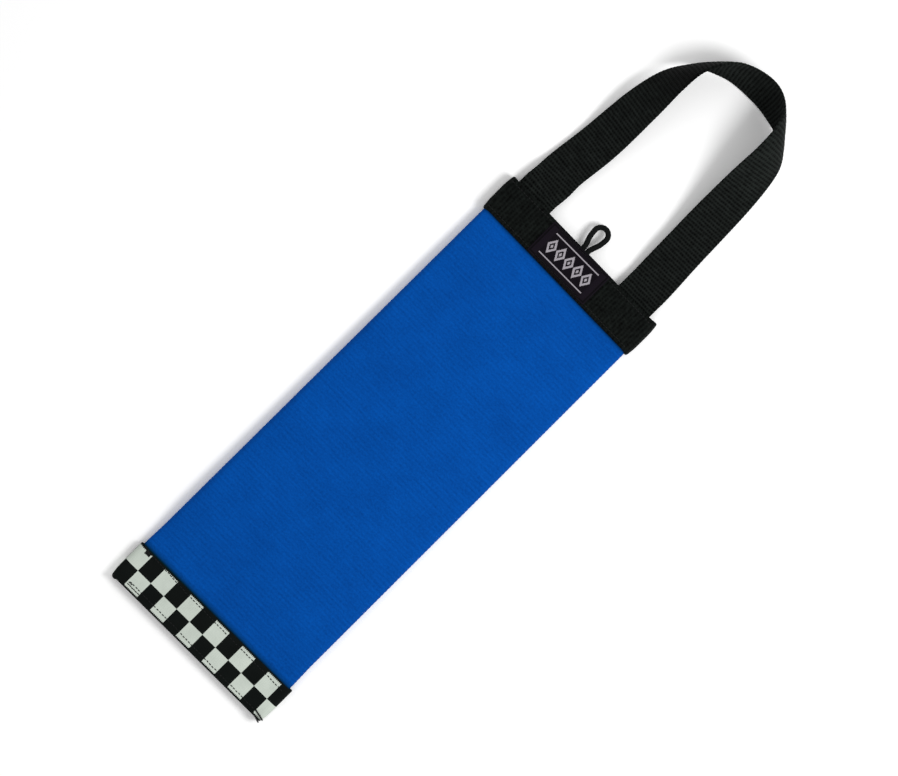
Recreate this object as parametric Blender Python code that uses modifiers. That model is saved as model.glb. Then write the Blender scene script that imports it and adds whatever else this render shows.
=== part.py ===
"""Training bumper: a flat length of woven fire hose with a foam core, banded and sewn at both ends.

The hose lies flat on the ground (z = 0) with its length along Y. The head end (+Y) is wrapped in black
webbing that also holds a webbing handle and a small cord loop. The tail end (-Y) is wrapped in a checked
ribbon. Lengths are in metres, angles in degrees.
"""
import math

import bmesh
import bpy
from mathutils import Matrix, Vector

# Fit between pieces that touch on the sewn product
GAP = 0.0003

# Hose: a woven jacket with a thin lining, flattened
HOSE_WIDTH = 0.1166
SHOWN_LENGTH = 0.2726
JACKET_WALL = 0.0013
LINER_WALL = 0.0005
TAIL_SPREAD = 0.0014
FILLED_HEIGHT = 0.0105
FILLED_FOLD = 0.0086
FOLD_HEIGHT = 0.47  # of the filled height
GROUND_FLAT = 0.6  # of the half width, lying flat on the ground
CROWN_POWER = 1.9
SWELL_LENGTH = 0.042
HOSE_SETBACK = 0.001
LINER_SETBACK = 0.0012
LINING_SPACE = 0.0004
# Where the outline and the loft have their points, as shares of the half width and of the swell
CROWN_SHARES = (0.86, 0.7, 0.5, 0.25)
UNDER_SHARES = (0.0, 0.25, 0.5, GROUND_FLAT, 0.82)
SWELL_SHARES = (0.0, 0.2, 0.4, 0.6, 0.8, 1.0)

# Foam core
FOAM_END_MARGIN = 0.012

# Head band and handle webbing
WEBBING_WIDTH = 0.0254
WEBBING_THICKNESS = 0.0016
BAND_EAR = 0.0009
BUTT_JOINT = 0.0006
BUTT_JOINT_OFFSET = 0.034

# Checked ribbon round the tail end
RIBBON_WIDTH = 0.0256
RIBBON_THICKNESS = 0.0009

# Handle: how far its legs stand in from the hose's folds, how far it reaches past the line that it
# flexes about, and how high it rises
LEG_INSET = 0.0044
HANDLE_REACH = 0.1294
HANDLE_RISE = 0.0170
HANDLE_TAIL = 0.019
# Shares of the legs' half spacing, the reach and the rise, then the roll of the webbing in degrees
HANDLE_SHARES = (
    (-1.00, 0.00, 0.00, 0),
    (-0.99, 0.06, 0.00, 0),
    (-0.92, 0.24, 0.03, 19),
    (-0.88, 0.44, 0.41, 22),
    (-0.85, 0.62, 0.78, 33),
    (-0.79, 0.76, 0.88, 52),
    (-0.62, 0.89, 0.75, 81),
    (-0.20, 0.98, 0.47, 109),
    (0.27, 1.00, 0.38, 121),
    (0.63, 0.96, 0.59, 98),
    (0.81, 0.90, 0.76, 71),
    (0.91, 0.77, 0.88, 42),
    (0.94, 0.60, 0.71, 29),
    (0.97, 0.40, 0.42, 22),
    (0.99, 0.22, 0.12, 18),
    (1.00, 0.06, 0.00, 0),
    (1.00, 0.00, 0.00, 0),
)
ROUTE_STEPS = 5
FLEX_LENGTH = 0.006
FLEX_NOSE = 0.0012
FLEX_OVERRUN = 0.0006

# Cord loop
CORD_DIAMETER = 0.0031
LOOP_LENGTH = 0.0178
LOOP_WIDTH = 0.0119
LOOP_ACROSS = 0.0005
CORD_TAIL = 0.017
CORD_FLEX_LENGTH = 0.004
CORD_NOSE = 0.0019
CORD_OVERRUN = 0.0012
CORD_SIDES = 12
LEGS_APART = 0.001  # how much further apart the legs stand at the flexing line than at the band
LOOP_TURNS = range(190, -11, -20)  # degrees round the teardrop's wide end
LEG_SHARES = (0.84, 0.38)  # a point up each leg, of the wide end's radius and of its height

# Woven label
LABEL_WIDTH = 0.046
LABEL_HEIGHT = 0.0224
LABEL_THICKNESS = 0.0004

# Rounding of the edges, as shares of a piece's thickness
BAND_ROUND = 0.3
TAIL_ROUND = 0.45
LABEL_ROUND = 0.35
EDGE_ANGLE = math.radians(40)

# Heights through the sewn ends, from the ground up
HEAD_BAND_Y = SHOWN_LENGTH / 2
HEAD_EDGE_Y = HEAD_BAND_Y + WEBBING_WIDTH
TAIL_BAND_Y = -SHOWN_LENGTH / 2
TAIL_EDGE_Y = TAIL_BAND_Y - RIBBON_WIDTH
WALL_STACK = JACKET_WALL + GAP + LINER_WALL
HEAD_FOLD = 2 * (WALL_STACK + GAP) + WEBBING_THICKNESS
HEAD_MIDDLE = WEBBING_THICKNESS + GAP + HEAD_FOLD / 2
TAIL_FOLD = 2 * WALL_STACK + LINING_SPACE
TAIL_MIDDLE = RIBBON_THICKNESS + GAP + TAIL_FOLD / 2
LEG_ACROSS = HOSE_WIDTH / 2 - LEG_INSET - WEBBING_WIDTH / 2
FLEX_Y = HEAD_EDGE_Y + FLEX_LENGTH
CORD_FLEX_Y = HEAD_EDGE_Y + CORD_FLEX_LENGTH

# Colour and roughness
FINISHES = {
    "hose": ((0.004, 0.072, 0.35), 0.72),
    "liner": ((0.03, 0.03, 0.032), 0.55),
    "foam": ((0.62, 0.62, 0.58), 0.85),
    "webbing": ((0.007, 0.008, 0.009), 0.8),
    "ribbon": ((0.30, 0.30, 0.29), 0.8),
    "label": ((0.010, 0.008, 0.012), 0.8),
    "cord": ((0.006, 0.006, 0.007), 0.75),
}


def clear_scene():
    for thing in list(bpy.data.objects):
        bpy.data.objects.remove(thing, do_unlink=True)


def make_material(name, color, roughness):
    material = bpy.data.materials.new(name)
    material.use_nodes = True
    shader = material.node_tree.nodes["Principled BSDF"]
    shader.inputs["Base Color"].default_value = (*color, 1.0)
    shader.inputs["Roughness"].default_value = roughness
    return material


def add_object(name, data, finish, location=(0, 0, 0)):
    thing = bpy.data.objects.new(name, data)
    thing.location = location
    data.materials.append(make_material(name, *FINISHES[finish]))
    PARTS.objects.link(thing)
    return thing


def mesh_from(name, bm):
    bmesh.ops.recalc_face_normals(bm, faces=bm.faces)
    mesh = bpy.data.meshes.new(name)
    bm.to_mesh(mesh)
    bm.free()
    mesh.shade_smooth()
    mesh.set_sharp_from_angle(angle=EDGE_ANGLE)
    return mesh


def add_solidify(thing, thickness, offset):
    shell = thing.modifiers.new("wall", "SOLIDIFY")
    shell.thickness = thickness
    shell.offset = offset
    shell.use_even_offset = True


def add_bevel(thing, width, segments):
    bevel = thing.modifiers.new("rounded edges", "BEVEL")
    bevel.width = width
    bevel.segments = segments
    bevel.limit_method = "ANGLE"
    bevel.angle_limit = EDGE_ANGLE


def ease(share):
    share = min(max(share, 0.0), 1.0)
    return share * share * (3 - 2 * share)


def blend(start, end, share):
    return start + (end - start) * share


def hose_section(y, inset):
    """Outline of the hose at y, moved inwards by inset: folded sides, crowned top, flat underside."""
    if y > 0:
        swell = ease((HEAD_BAND_Y - y) / SWELL_LENGTH)
        fold, middle, width = HEAD_FOLD, HEAD_MIDDLE, HOSE_WIDTH
    else:
        swell = ease((y - TAIL_BAND_Y) / SWELL_LENGTH)
        fold, middle, width = TAIL_FOLD, TAIL_MIDDLE, HOSE_WIDTH + TAIL_SPREAD
    radius = blend(fold, FILLED_FOLD, swell) / 2
    centre = blend(middle, FILLED_HEIGHT * FOLD_HEIGHT, swell)
    top = blend(middle + fold / 2, FILLED_HEIGHT, swell)
    bottom = blend(middle - fold / 2, 0.0, swell)
    shoulder = blend(width, HOSE_WIDTH, swell) / 2 - radius
    crown = top - centre - radius
    belly = centre - radius - bottom
    points = []
    for angle in (-90, -60, -30, 0, 30, 60, 90):
        turn = math.radians(angle)
        points.append((shoulder + (radius - inset) * math.cos(turn), centre + (radius - inset) * math.sin(turn)))
    for share in CROWN_SHARES:
        points.append((shoulder * share, centre + radius - inset + crown * (1 - share ** CROWN_POWER)))
    points.append((0.0, top - inset))
    under = []
    for share in UNDER_SHARES:
        rise = max(share - GROUND_FLAT, 0.0) / (1 - GROUND_FLAT)
        under.append((shoulder * share, bottom + inset + belly * rise ** 2))
    half = under + points
    other_half = [(-x, z) for x, z in reversed(half[1:-1])]
    return half + other_half


def hose_stations(tail_end, head_end):
    """Stations along the hose: close together where it swells from the bands to its filled height."""
    tail = [TAIL_BAND_Y + SWELL_LENGTH * share for share in SWELL_SHARES]
    head = [HEAD_BAND_Y - SWELL_LENGTH * share for share in reversed(SWELL_SHARES)]
    inner = [y for y in tail + [0.0] + head if tail_end + GAP < y < head_end - GAP]
    return [tail_end] + inner + [head_end]


def hose_skin(bm, inset, tail_end, head_end):
    """Loft the hose's outline from the tail to the head; returns the first and last rings."""
    rings = []
    for y in hose_stations(tail_end, head_end):
        rings.append([bm.verts.new((x, y, z)) for x, z in hose_section(y, inset)])
    for near, far in zip(rings, rings[1:]):
        for i in range(len(near)):
            j = (i + 1) % len(near)
            bm.faces.new((near[i], near[j], far[j], far[i]))
    return rings[0], rings[-1]


def hose_jacket():
    bm = bmesh.new()
    hose_skin(bm, 0.0, TAIL_EDGE_Y + HOSE_SETBACK, HEAD_EDGE_Y - HOSE_SETBACK)
    jacket = add_object("hose_jacket", mesh_from("hose_jacket", bm), "hose")
    add_solidify(jacket, JACKET_WALL, -1)


def hose_liner():
    bm = bmesh.new()
    setback = HOSE_SETBACK + LINER_SETBACK
    hose_skin(bm, JACKET_WALL + GAP, TAIL_EDGE_Y + setback, HEAD_EDGE_Y - setback)
    liner = add_object("hose_liner", mesh_from("hose_liner", bm), "liner")
    add_solidify(liner, LINER_WALL, -1)


def foam_core():
    bm = bmesh.new()
    inset = WALL_STACK + GAP
    ends = hose_skin(bm, inset, TAIL_BAND_Y + FOAM_END_MARGIN, HEAD_BAND_Y - FOAM_END_MARGIN)
    for ring in ends:
        bm.faces.new(ring)
    add_object("foam_core", mesh_from("foam_core", bm), "foam")


def wrapped_strip(name, finish, hose_width, fold, middle, low_y, width, thickness):
    """A strip wrapped once round the flattened hose, its ends meeting in a butt joint on the underside."""
    radius = fold / 2 + GAP
    shoulder = (hose_width - fold) / 2
    joint = BUTT_JOINT_OFFSET
    path = [(joint + BUTT_JOINT / 2, -radius, 0.0)]
    path.append((shoulder, -radius, 0.0))
    side = []
    for angle in range(-60, 61, 30):
        turn = math.radians(angle)
        side.append((shoulder + radius * math.cos(turn), radius * math.sin(turn), math.cos(turn)))
    path += side
    path += [(shoulder, radius, 0.0), (0.0, radius, 0.0), (-shoulder, radius, 0.0)]
    path += [(-x, z, ear) for x, z, ear in reversed(side)]
    path += [(-shoulder, -radius, 0.0), (0.0, -radius, 0.0), (joint - BUTT_JOINT / 2, -radius, 0.0)]
    bm = bmesh.new()
    rows = []
    for x, z, ear in path:
        spread = BAND_EAR * ear
        ends = (low_y - spread, low_y + width / 2, low_y + width + spread)
        rows.append([bm.verts.new((x, y, middle + z)) for y in ends])
    for row, following in zip(rows, rows[1:]):
        for i in range(len(row) - 1):
            bm.faces.new((row[i], row[i + 1], following[i + 1], following[i]))
    mesh = mesh_from(name, bm)
    strip = add_object(name, mesh, finish)
    facing = sum(face.normal.z * (face.center.z - middle) for face in mesh.polygons)
    add_solidify(strip, thickness, 1 if facing > 0 else -1)
    add_bevel(strip, thickness * BAND_ROUND, 2)


def flat_piece(name, finish, size, centre, edge, segments):
    bm = bmesh.new()
    bmesh.ops.create_cube(bm, size=1.0, matrix=Matrix.Diagonal((*size, 1.0)))
    piece = add_object(name, mesh_from(name, bm), finish, centre)
    add_bevel(piece, edge, segments)


def handle_tails():
    """The two ends of the handle's webbing, sewn flat inside the hose and free past the band's edge."""
    end_y = FLEX_Y - FLEX_NOSE
    length = HANDLE_TAIL + end_y - HEAD_EDGE_Y
    for side, name in ((-1, "handle_tail_left"), (1, "handle_tail_right")):
        centre = (side * LEG_ACROSS, end_y - length / 2, HEAD_MIDDLE)
        size = (WEBBING_WIDTH, length, WEBBING_THICKNESS)
        flat_piece(name, "webbing", size, centre, WEBBING_THICKNESS * TAIL_ROUND, 2)


def handle_points():
    """Route points of the handle's middle line: position from the flexing line, and roll."""
    points = []
    half = WEBBING_WIDTH / 2
    for across, along, lift, roll in HANDLE_SHARES:
        turn = math.radians(roll)
        lowest = half * abs(math.sin(turn)) + WEBBING_THICKNESS / 2 * abs(math.cos(turn)) - HEAD_MIDDLE
        height = max(HANDLE_RISE * lift, lowest)
        points.append((Vector((across * LEG_ACROSS, along * HANDLE_REACH, height)), turn))
    return points


def smooth_between(before, start, end, after, share):
    """Catmull-Rom curve between start and end."""
    slope_start = (end - before) * 0.5
    slope_end = (after - start) * 0.5
    square, cube = share * share, share ** 3
    return (start * (2 * cube - 3 * square + 1) + slope_start * (cube - 2 * square + share)
            + end * (3 * square - 2 * cube) + slope_end * (cube - square))


def handle_line():
    """The handle's middle line as close points with their roll."""
    points = handle_points()
    straight = Vector((0, FLEX_OVERRUN, 0))
    line = [(points[0][0] - straight, 0.0)]
    last = len(points) - 1
    for i in range(last):
        ring = [points[max(i - 1, 0)], points[i], points[i + 1], points[min(i + 2, last)]]
        for step in range(ROUTE_STEPS):
            share = step / ROUTE_STEPS
            place = smooth_between(*[point for point, roll in ring], share)
            place.z = max(place.z, 0.0)
            roll = smooth_between(*[roll for point, roll in ring], share)
            line.append((place, max(roll, 0.0)))
    line.append(points[last])
    line.append((points[last][0] - straight, 0.0))
    return line


def handle_strap():
    """The free length of the handle: webbing that rolls over at each shoulder and rests on the ground."""
    line = handle_line()
    curve = bpy.data.curves.new("handle_strap", "CURVE")
    curve.dimensions = "3D"
    curve.twist_mode = "Z_UP"
    curve.extrude = (WEBBING_WIDTH - WEBBING_THICKNESS) / 2
    curve.bevel_depth = WEBBING_THICKNESS / 2
    curve.bevel_resolution = 1
    curve.fill_mode = "FULL"
    curve.use_fill_caps = True
    spline = curve.splines.new("POLY")
    spline.points.add(len(line) - 1)
    for point, (place, roll) in zip(spline.points, line):
        point.co = (*place, 1.0)
        point.tilt = math.pi / 2 - roll
    add_object("handle_strap", curve, "webbing", (0, FLEX_Y, HEAD_MIDDLE))


def cord_tails():
    """The cord's two ends, pressed flat between the hose's walls."""
    end_y = CORD_FLEX_Y - CORD_NOSE
    length = CORD_TAIL + end_y - HEAD_EDGE_Y
    half_width = CORD_DIAMETER / 2
    oval = Matrix.Diagonal((half_width, length, WEBBING_THICKNESS / 2, 1.0))
    lying = oval @ Matrix.Rotation(math.pi / 2, 4, "X")
    for side, name in ((-1, "cord_tail_left"), (1, "cord_tail_right")):
        bm = bmesh.new()
        bmesh.ops.create_cone(bm, cap_ends=True, segments=CORD_SIDES, radius1=1.0, radius2=1.0, depth=1.0,
                              matrix=lying)
        across = LOOP_ACROSS + side * (half_width + GAP / 2)
        add_object(name, mesh_from(name, bm), "cord", (across, end_y - length / 2, HEAD_MIDDLE))


def cord_loop():
    """A teardrop of cord standing out from the middle of the head end."""
    radius = CORD_DIAMETER / 2
    neck = radius + GAP / 2
    bulge = LOOP_WIDTH / 2 - radius
    centre_y = LOOP_LENGTH - CORD_FLEX_LENGTH - radius - bulge
    leg = [(neck + LEGS_APART / 2, -CORD_OVERRUN), (neck + LEGS_APART, 0.0)]
    leg.append((bulge * LEG_SHARES[0], centre_y * LEG_SHARES[1]))
    points = [(-x, y) for x, y in leg]
    for angle in LOOP_TURNS:
        turn = math.radians(angle)
        points.append((bulge * math.cos(turn), centre_y + bulge * math.sin(turn)))
    points += reversed(leg)
    curve = bpy.data.curves.new("cord_loop", "CURVE")
    curve.dimensions = "3D"
    curve.bevel_depth = radius
    curve.bevel_resolution = 2
    curve.use_fill_caps = True
    spline = curve.splines.new("POLY")
    spline.points.add(len(points) - 1)
    for point, (x, y) in zip(spline.points, points):
        point.co = (x, y, 0.0, 1.0)
    add_object("cord_loop", curve, "cord", (LOOP_ACROSS, CORD_FLEX_Y, HEAD_MIDDLE))


def woven_label():
    band_top = 2 * HEAD_MIDDLE
    centre = (0, HEAD_BAND_Y + WEBBING_WIDTH / 2, band_top + GAP + LABEL_THICKNESS / 2)
    size = (LABEL_WIDTH, LABEL_HEIGHT, LABEL_THICKNESS)
    flat_piece("woven_label", "label", size, centre, LABEL_THICKNESS * LABEL_ROUND, 1)


clear_scene()
PARTS = bpy.data.collections.new("training_bumper")
bpy.context.scene.collection.children.link(PARTS)
hose_jacket()
hose_liner()
foam_core()
wrapped_strip("head_band", "webbing", HOSE_WIDTH, HEAD_FOLD, HEAD_MIDDLE,
              HEAD_BAND_Y, WEBBING_WIDTH, WEBBING_THICKNESS)
wrapped_strip("tail_band", "ribbon", HOSE_WIDTH + TAIL_SPREAD, TAIL_FOLD, TAIL_MIDDLE,
              TAIL_EDGE_Y, RIBBON_WIDTH, RIBBON_THICKNESS)
handle_tails()
handle_strap()
cord_tails()
cord_loop()
woven_label()
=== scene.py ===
# %% [markdown]
# A training bumper is a toy that a dog learns to carry: a flat length of blue fire hose round a foam
# core, bound in black webbing at the head and in a checked ribbon at the tail, with a webbing handle and
# a cord loop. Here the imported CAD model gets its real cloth. Lengths are in metres, in the CAD's own
# frame: the bumper lies on the ground at z = 0, with its length along Y and its handle at +Y.

# %% Load the fixed frame
import math
from collections import namedtuple

import bpy
import numpy as np
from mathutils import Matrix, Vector


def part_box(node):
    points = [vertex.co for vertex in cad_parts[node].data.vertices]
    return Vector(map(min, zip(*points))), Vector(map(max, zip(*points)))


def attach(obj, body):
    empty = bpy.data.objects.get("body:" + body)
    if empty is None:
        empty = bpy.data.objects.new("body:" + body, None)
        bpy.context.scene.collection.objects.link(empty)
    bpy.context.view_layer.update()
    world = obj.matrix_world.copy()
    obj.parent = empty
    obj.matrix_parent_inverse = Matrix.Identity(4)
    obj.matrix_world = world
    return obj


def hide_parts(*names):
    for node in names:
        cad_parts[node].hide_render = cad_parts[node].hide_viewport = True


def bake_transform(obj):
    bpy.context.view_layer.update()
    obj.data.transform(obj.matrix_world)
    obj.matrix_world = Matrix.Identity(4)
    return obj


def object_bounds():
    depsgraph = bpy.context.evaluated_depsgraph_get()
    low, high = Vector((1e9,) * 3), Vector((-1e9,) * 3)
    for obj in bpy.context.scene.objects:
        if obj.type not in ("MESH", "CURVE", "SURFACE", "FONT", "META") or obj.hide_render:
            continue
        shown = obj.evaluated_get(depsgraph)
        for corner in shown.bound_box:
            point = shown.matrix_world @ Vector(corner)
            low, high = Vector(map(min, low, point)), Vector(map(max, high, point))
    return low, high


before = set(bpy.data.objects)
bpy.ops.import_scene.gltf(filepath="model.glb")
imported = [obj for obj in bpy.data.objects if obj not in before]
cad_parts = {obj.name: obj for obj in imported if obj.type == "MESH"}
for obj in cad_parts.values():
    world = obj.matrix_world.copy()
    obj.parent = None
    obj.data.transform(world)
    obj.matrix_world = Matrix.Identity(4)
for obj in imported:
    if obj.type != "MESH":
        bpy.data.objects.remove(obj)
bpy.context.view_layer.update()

print("CAD nodes:", ", ".join(sorted(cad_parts)))

# %% [markdown]
# The camera comes first, because everything is judged through it. It looks straight down at the table,
# turned so that the bumper runs from the lower left to the upper right. A long lens from 1.5 m keeps the
# sides of a flat thing parallel, and the lens follows from how much of the table the picture spans.

# %% Camera
EYE_HEIGHT = 1.5
TABLE_SEEN = 0.5163
AIM = (0.0017, 0.0503)
CAMERA_TURN = math.radians(45.17)

bpy.ops.object.select_all(action="DESELECT")
bpy.ops.object.camera_add(location=(*AIM, EYE_HEIGHT), rotation=(0, 0, CAMERA_TURN))
camera = bpy.context.object
camera.data.lens = camera.data.sensor_width * EYE_HEIGHT / TABLE_SEEN
bpy.context.scene.camera = camera
print("lens:", round(camera.data.lens, 1), "mm")

# %% [markdown]
# Sewn goods are made from a few stock sizes: inch webbing, inch ribbon, flat hose. Their sizes, and the
# places where one piece ends and the next starts, are read from the CAD or repeated from it, so that each
# new piece lands where its CAD solid is.

# %% Sizes shared by the pieces
HEAD_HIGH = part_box("head_band")[1]
HOSE_LOW, HOSE_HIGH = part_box("hose_jacket")

GAP = 0.0003
JACKET_WALL = 0.0013
WEBBING_WIDTH = 0.0254
WEBBING_THICKNESS = 0.0016
RIBBON_WIDTH = 0.0256
RIBBON_THICKNESS = 0.0009
HEAD_BAND_Y = 0.1363
HEAD_EDGE_Y = HEAD_BAND_Y + WEBBING_WIDTH
TAIL_BAND_Y = -0.1363
TAIL_EDGE_Y = TAIL_BAND_Y - RIBBON_WIDTH
HEAD_FOLD = 0.0064
HEAD_MIDDLE = 0.0051
HEAD_SKEW = math.radians(0.9)
TAIL_FOLD = 0.0046
TAIL_MIDDLE = 0.0035
FLEX_Y = 0.1677
print("hose", round(HOSE_HIGH.x - HOSE_LOW.x, 4), "wide, band top at", round(HEAD_HIGH.z, 4))

# %% [markdown]
# Cloth is woven from thousands of yarns, too many to model one by one. The larger ribs are modelled, and
# the yarns are painted by nodes, which stay sharp at any distance. Node maths reads badly as boxes and
# wires, so a small class lets it be written as sums: each sum adds a Math node.

# %% A helper for shader maths
class Field:
    """A number that varies over a surface. A sum on it adds a Math node to its tree."""

    def __init__(self, nodes, socket):
        self.nodes, self.socket = nodes, socket

    def __add__(self, other):
        return self.nodes.maths("ADD", self, other)

    def __sub__(self, other):
        return self.nodes.maths("SUBTRACT", self, other)

    def __rsub__(self, other):
        return self.nodes.maths("SUBTRACT", other, self)

    def __mul__(self, other):
        return self.nodes.maths("MULTIPLY", self, other)

    def __truediv__(self, other):
        return self.nodes.maths("DIVIDE", self, other)

    def __gt__(self, other):
        return self.nodes.maths("GREATER_THAN", self, other)

    def __lt__(self, other):
        return self.nodes.maths("LESS_THAN", self, other)

    __radd__ = __add__
    __rmul__ = __mul__


class Nodes:
    """A node tree being made."""

    def __init__(self, tree):
        self.tree = tree

    def feed(self, socket, value):
        if isinstance(value, Field):
            self.tree.links.new(value.socket, socket)
        else:
            socket.default_value = value

    def node(self, kind, settings, inputs, output=0):
        new = self.tree.nodes.new(kind)
        for name, value in settings.items():
            setattr(new, name, value)
        for name, value in inputs.items():
            self.feed(new.inputs[name], value)
        return Field(self, new.outputs[output])

    def maths(self, operation, *values):
        return self.node("ShaderNodeMath", {"operation": operation}, dict(enumerate(values)))


class Finish(Nodes):
    """A material being made: its nodes, and the Principled shader at its end."""

    def __init__(self, name, **constants):
        self.material = bpy.data.materials.new(name)
        self.material.use_nodes = True
        super().__init__(self.material.node_tree)
        self.shader = self.tree.nodes["Principled BSDF"]
        for socket, value in constants.items():
            self.feed(self.shader.inputs[socket.replace("_", " ")], value)

    def mix(self, share, one, other):
        return self.node("ShaderNodeMix", {"data_type": "RGBA"}, {0: share, 6: one, 7: other}, output=2)

    def parts(self, vector):
        return [self.node("ShaderNodeSeparateXYZ", {}, {0: vector}, output=i) for i in range(3)]

    def vector(self, *values):
        return self.node("ShaderNodeCombineXYZ", {}, dict(enumerate(values)))

    def noise(self, where, scale, detail=2.0):
        return self.node("ShaderNodeTexNoise", {}, {"Vector": where, "Scale": scale, "Detail": detail})

    def wave(self, distance, pitch):
        """1 at every whole pitch and 0 half-way between."""
        return self.maths("COSINE", distance / pitch * 2 * math.pi) * 0.5 + 0.5

    def object_place(self):
        """The place on the object, in metres."""
        return self.node("ShaderNodeTexCoord", {}, {}, output=3)

    def end(self, colour, height, depth, roughness=None):
        """Join the colour, the relief and, where it varies, the roughness to the shader."""
        self.feed(self.shader.inputs["Base Color"], colour)
        relief = self.node("ShaderNodeBump", {}, {"Height": height, "Distance": depth})
        self.feed(self.shader.inputs["Normal"], relief)
        if roughness is not None:
            self.feed(self.shader.inputs["Roughness"], roughness)
        print("finish", self.material.name, "has", len(self.tree.nodes), "nodes")
        return self.material


def colour(red, green, blue):
    """A colour given as it looks on a screen, 0 to 255, made linear."""
    shares = [x / 255 for x in (red, green, blue)]
    return (*[x / 12.92 if x < 0.04045 else ((x + 0.055) / 1.055) ** 2.4 for x in shares], 1.0)

# %% [markdown]
# Webbing and hose are ribbed weaves: the lengthwise yarns arch over thick hidden cross yarns, which makes
# low ribs from edge to edge. Between two ribs the yarns dive, and leave a row of small dark holes. In
# webbing each row is set half a hole on from the last. The pattern is measured along the cloth, from a UV
# map in metres, so it bends with the strap and runs round every fold.

# %% The ribbed weave
def cloth_place(finish):
    """Distance along and across the cloth, in metres."""
    place = finish.node("ShaderNodeUVMap", {"uv_map": "cloth"}, {})
    along, across, _ = finish.parts(place)
    return along, across


def ribbed_weave(finish, along, across, rib, bead, floor, stagger):
    """Height of a ribbed weave: 1 on its ribs, floor between the holes and 0 in them.

    stagger is how far each row is set on from the last, as a share of a bead."""
    row = finish.maths("FLOOR", along / rib + 0.5)
    shift = finish.maths("FLOORED_MODULO", row, 2.0) * stagger
    closed = finish.wave(across / bead + shift, 1.0)
    return 1.0 - finish.wave(along, rib) * (1.0 - closed * floor)


def fibres(finish, along, across, length, width):
    """Uneven streaks of a given length and width."""
    return finish.noise(finish.vector(along / length, across / width, 0.0), 1.0)


def clouds(finish, along, across, scale, detail=2.0):
    """Soft patches, smaller as the scale grows."""
    return finish.noise(finish.vector(along, across, 0.0), scale, detail)


def uneven(level, *layers):
    """A level that each (field, weight) pushes up or down."""
    for field, weight in layers:
        level = level + (field - 0.5) * weight
    return level

# %% [markdown]
# The hose jacket is spun polyester dyed a strong blue. Its yarns shade each other, so it hardly shines.
# Its ribs are soft and its holes nearly closed. What the eye sees is unevenness: slubs, where a cross
# yarn runs thick for a centimetre, flecks of lint, and clouds where the dye took better. Beside the
# bands the jacket is darker, a painted shade.

# %% Hose jacket finish
HOSE_RIB = 0.00272
HOSE_BEAD = 0.0030
HOSE_HOLES = 0.2
HOSE_WANDER = 0.0009
HOSE_RELIEF = 0.0001
HOSE_DARK, HOSE_PALE, HOSE_PAINTED_SHADE = colour(1, 61, 137), colour(3, 83, 175), colour(1, 36, 42)
TAIL_PAINTED_SHADE, TAIL_PAINTED_SHADE_REACH = 0.85, 0.0045
HEAD_PAINTED_SHADE, HEAD_PAINTED_SHADE_REACH = 0.44, 0.0021


def painted_shade_beside(finish, distance, strength, reach):
    """A share of painted shade, strongest where the distance from a band is nothing, gone at its reach."""
    near = finish.maths("MAXIMUM", 1.0 - distance / reach, 0.0)
    return near * near * strength


def hose_finish():
    finish = Finish("hose_weave", Roughness=0.82, Specular_IOR_Level=0.03, Sheen_Weight=0.01)
    along, across = cloth_place(finish)
    wander = clouds(finish, along, across, 60.0) * HOSE_WANDER
    weave = ribbed_weave(finish, along + wander, across + wander, HOSE_RIB, HOSE_BEAD, HOSE_HOLES, 0.0)
    slub = fibres(finish, along, across, 0.0017, 0.011)
    fleck = fibres(finish, along, across, 0.0009, 0.0014)
    cloud = clouds(finish, along, across, 42.0, 3.0)
    # the weave's share paints the ribs lighter than the holes: a painted highlight on the ribs, painted
    # shade between
    light = uneven(0.56, (weave, 0.14), (slub, 0.6), (fleck, 1.2), (cloud, 0.65))
    tone = finish.mix(light, HOSE_DARK, HOSE_PALE)
    x, y, _ = finish.parts(finish.object_place())
    # painted shade: the jacket's colour darkens beside the tail band and beside the head band
    from_head = HEAD_BAND_Y - y - x * math.tan(HEAD_SKEW)
    shade = painted_shade_beside(finish, y - TAIL_BAND_Y, TAIL_PAINTED_SHADE, TAIL_PAINTED_SHADE_REACH)
    shade = shade + painted_shade_beside(finish, from_head, HEAD_PAINTED_SHADE, HEAD_PAINTED_SHADE_REACH)
    tone = finish.mix(shade, tone, HOSE_PAINTED_SHADE)
    return finish.end(tone, weave * 0.7 + fleck * 0.3, HOSE_RELIEF)


hose_material = hose_finish()

# %% [markdown]
# Nylon webbing is thick, hard and almost black. The crowns of its ribs catch a little light and the
# grooves swallow it, which is all that the eye sees of black cloth. The head band is the same webbing,
# made a shade darker and with flatter ribs. Along the handle, painted shade darkens some stretches and
# painted highlights lighten others.

# %% Webbing finish
WEBBING_RIB = 0.00224
WEBBING_BEAD = 0.00164
WEBBING_HOLES = 0.55
WEBBING_MEAN = 0.64  # the mean height of the weave
WEBBING_RELIEF = 0.0004
ALONG_WANDER, ACROSS_WANDER = 0.0009, 0.0016


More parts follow.
